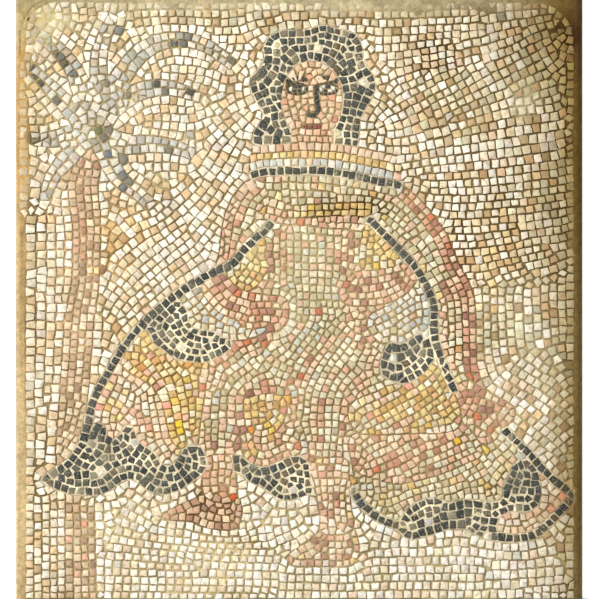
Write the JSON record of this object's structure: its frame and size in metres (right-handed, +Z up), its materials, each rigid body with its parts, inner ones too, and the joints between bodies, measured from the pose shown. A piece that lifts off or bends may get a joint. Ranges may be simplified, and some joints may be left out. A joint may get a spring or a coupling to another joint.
{
  "type": "mosaic panel",
  "caption": "Wall panel of stone mosaic in a cast mortar slab, showing a standing draped figure beside a palm tree.",
  "frame": {"origin": "centre of the flat back face, where the panel lies on the wall", "axes": "+Z up, +X to the right seen from the front, the picture faces -Y and the back faces +Y"},
  "size_m": [0.737, 0.045, 0.789],
  "materials": {
    "mortar": "rough trowelled lime mortar, tan, with dust in the hollows",
    "ground_stone": "honed ivory limestone, worn matt",
    "palm_stone": "pale grey and blue grey marble, worn matt",
    "trunk_stone": "tan and pinkish brown limestone, worn matt",
    "dark_stone": "blue black slate with pale flecks, worn matt",
    "skin_stone": "salmon limestone, worn matt",
    "yellow_stone": "ochre yellow limestone, worn matt",
    "pink_stone": "dusty rose limestone, worn matt",
    "grey_stone": "light blue grey marble, worn matt",
    "beige_stone": "olive beige limestone, worn matt",
    "white_stone": "warm white limestone, worn matt"
  },
  "bodies": {
    "root": {"mortar_bed": "mortar", "left_eyebrow": "dark_stone", "right_eyebrow": "dark_stone", "left_eye": "white_stone", "right_eye": "white_stone", "nose_line": "dark_stone", "mouth": "dark_stone", "neckline": "white_stone", "face": "skin_stone", "hair": "dark_stone", "collar_yellow": "yellow_stone", "collar_grey": "grey_stone", "collar_dark": "dark_stone", "cloak_edge_left": "dark_stone", "cloak_edge_right": "dark_stone", "hem_left": "dark_stone", "hem_centre": "dark_stone", "hem_corner": "dark_stone", "hem_right": "dark_stone", "fold_dark_left": "dark_stone", "fold_grey_left": "grey_stone", "fold_dark_right": "dark_stone", "fold_grey_right": "grey_stone", "chest_yellow": "yellow_stone", "chest_pink": "pink_stone", "torso_yellow_left": "yellow_stone", "torso_pink_left": "pink_stone", "torso_yellow_right": "yellow_stone", "torso_pink_right": "pink_stone", "skirt_yellow_left": "yellow_stone", "skirt_pink_left": "pink_stone", "skirt_yellow_centre": "yellow_stone", "skirt_pink_centre": "pink_stone", "skirt_yellow_right": "yellow_stone", "skirt_pink_right": "pink_stone", "sleeve_cuff": "pink_stone", "skirt_beige_right": "beige_stone", "hem_corner_pink": "pink_stone", "left_sleeve_edge": "pink_stone", "right_sleeve_edge": "pink_stone", "shoulders_and_sleeves": "beige_stone", "left_leg": "skin_stone", "left_foot": "pink_stone", "right_leg": "skin_stone", "right_foot": "pink_stone", "palm_fronds": "palm_stone", "palm_trunk": "trunk_stone", "palm_trunk_foot": "trunk_stone", "tunic": "beige_stone", "side_ground": "ground_stone", "lower_ground": "ground_stone", "upper_ground": "ground_stone"}
  },
  "joints": []
}
